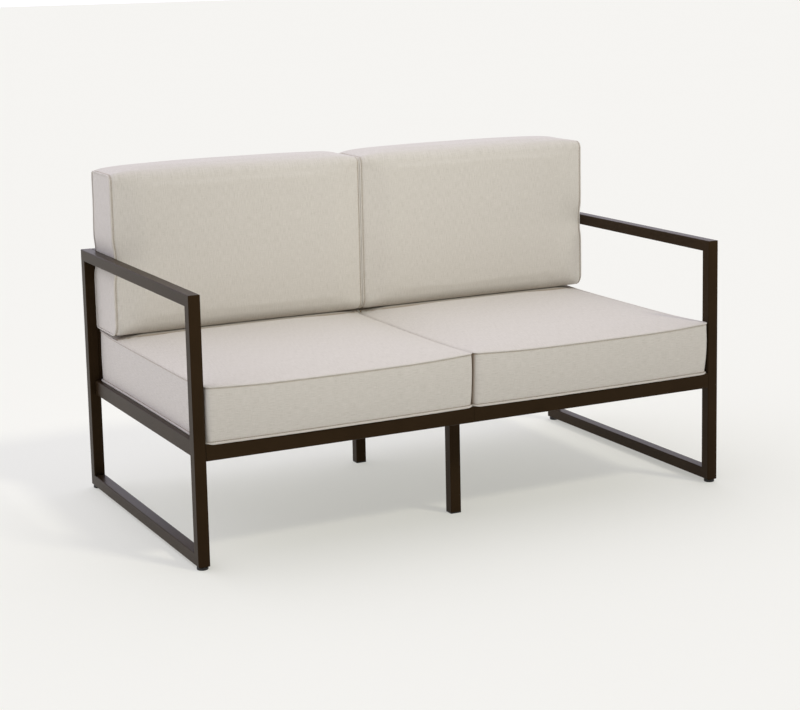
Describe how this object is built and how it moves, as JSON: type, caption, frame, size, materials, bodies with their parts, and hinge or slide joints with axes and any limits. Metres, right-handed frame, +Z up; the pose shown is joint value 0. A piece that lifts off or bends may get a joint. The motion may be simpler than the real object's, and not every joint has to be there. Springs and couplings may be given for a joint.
{
  "type": "garden sofa",
  "caption": "Garden sofa with an open rectangular tube frame, slatted seat and back panels, centre legs, levelling feet and loose box cushions.",
  "frame": {"origin": "on the floor, at the middle of the sofa's outline seen from above", "axes": "+X along the width, to the right of a viewer in front; -Y towards the front; +Z up"},
  "size_m": [1.405, 0.785, 0.841],
  "materials": {
    "powder_coated_steel": "satin dark bronze powder coat",
    "cushion_fabric": "plain woven outdoor fabric with a slub",
    "cushion_foam": "open-cell foam block",
    "black_plastic": "moulded, matt",
    "zinc_plated_steel": "zinc plated"
  },
  "bodies": {
    "frame": {"left_front_post": "powder_coated_steel", "left_rear_post": "powder_coated_steel", "left_arm_rail": "powder_coated_steel", "left_bottom_rail": "powder_coated_steel", "left_ledger_rail": "powder_coated_steel", "left_seat_front_rail": "powder_coated_steel", "left_seat_rear_rail": "powder_coated_steel", "left_seat_outer_rail": "powder_coated_steel", "left_seat_inner_rail": "powder_coated_steel", "left_seat_slats": "powder_coated_steel", "left_back_top_rail": "powder_coated_steel", "left_back_bottom_rail": "powder_coated_steel", "left_back_outer_upright": "powder_coated_steel", "left_back_inner_upright": "powder_coated_steel", "left_back_slats": "powder_coated_steel", "right_front_post": "powder_coated_steel", "right_rear_post": "powder_coated_steel", "right_arm_rail": "powder_coated_steel", "right_bottom_rail": "powder_coated_steel", "right_ledger_rail": "powder_coated_steel", "right_seat_front_rail": "powder_coated_steel", "right_seat_rear_rail": "powder_coated_steel", "right_seat_outer_rail": "powder_coated_steel", "right_seat_inner_rail": "powder_coated_steel", "right_seat_slats": "powder_coated_steel", "right_back_top_rail": "powder_coated_steel", "right_back_bottom_rail": "powder_coated_steel", "right_back_outer_upright": "powder_coated_steel", "right_back_inner_upright": "powder_coated_steel", "right_back_slats": "powder_coated_steel", "front_centre_leg": "powder_coated_steel", "front_centre_leg_plate": "powder_coated_steel", "front_centre_leg_cap": "black_plastic", "rear_centre_leg": "powder_coated_steel", "rear_centre_leg_plate": "powder_coated_steel", "rear_centre_leg_cap": "black_plastic", "frame_bolts": "zinc_plated_steel", "washers": "zinc_plated_steel", "rivet_nuts": "zinc_plated_steel", "centre_bolts": "zinc_plated_steel", "centre_nuts": "zinc_plated_steel", "leg_screws": "zinc_plated_steel", "back_panel_screws": "zinc_plated_steel", "foot_inserts": "zinc_plated_steel"},
    "left_front_foot": {"left_front_foot_pad": "black_plastic", "left_front_foot_stud": "zinc_plated_steel"},
    "right_front_foot": {"right_front_foot_pad": "black_plastic", "right_front_foot_stud": "zinc_plated_steel"},
    "left_rear_foot": {"left_rear_foot_pad": "black_plastic", "left_rear_foot_stud": "zinc_plated_steel"},
    "right_rear_foot": {"right_rear_foot_pad": "black_plastic", "right_rear_foot_stud": "zinc_plated_steel"},
    "left_seat_cushion": {"left_seat_cushion_cover": "cushion_fabric", "left_seat_cushion_core": "cushion_foam"},
    "left_back_cushion": {"left_back_cushion_cover": "cushion_fabric", "left_back_cushion_core": "cushion_foam"},
    "right_seat_cushion": {"right_seat_cushion_cover": "cushion_fabric", "right_seat_cushion_core": "cushion_foam"},
    "right_back_cushion": {"right_back_cushion_cover": "cushion_fabric", "right_back_cushion_core": "cushion_foam"}
  },
  "joints": [
    {"name": "left_front_foot_screw", "type": "slide", "parent": "frame", "child": "left_front_foot", "axis": [0, 0, -1], "range_m": [0, 0.01]},
    {"name": "right_front_foot_screw", "type": "slide", "parent": "frame", "child": "right_front_foot", "axis": [0, 0, -1], "range_m": [0, 0.01]},
    {"name": "left_rear_foot_screw", "type": "slide", "parent": "frame", "child": "left_rear_foot", "axis": [0, 0, -1], "range_m": [0, 0.01]},
    {"name": "right_rear_foot_screw", "type": "slide", "parent": "frame", "child": "right_rear_foot", "axis": [0, 0, -1], "range_m": [0, 0.01]},
    {"name": "left_seat_cushion_lift", "type": "slide", "parent": "frame", "child": "left_seat_cushion", "axis": [0, 0, 1], "range_m": [0, 0.35]},
    {"name": "left_back_cushion_lift", "type": "slide", "parent": "left_seat_cushion", "child": "left_back_cushion", "axis": [0, 0, 1], "range_m": [0, 0.22]},
    {"name": "right_seat_cushion_lift", "type": "slide", "parent": "frame", "child": "right_seat_cushion", "axis": [0, 0, 1], "range_m": [0, 0.35]},
    {"name": "right_back_cushion_lift", "type": "slide", "parent": "right_seat_cushion", "child": "right_back_cushion", "axis": [0, 0, 1], "range_m": [0, 0.22]}
  ]
}
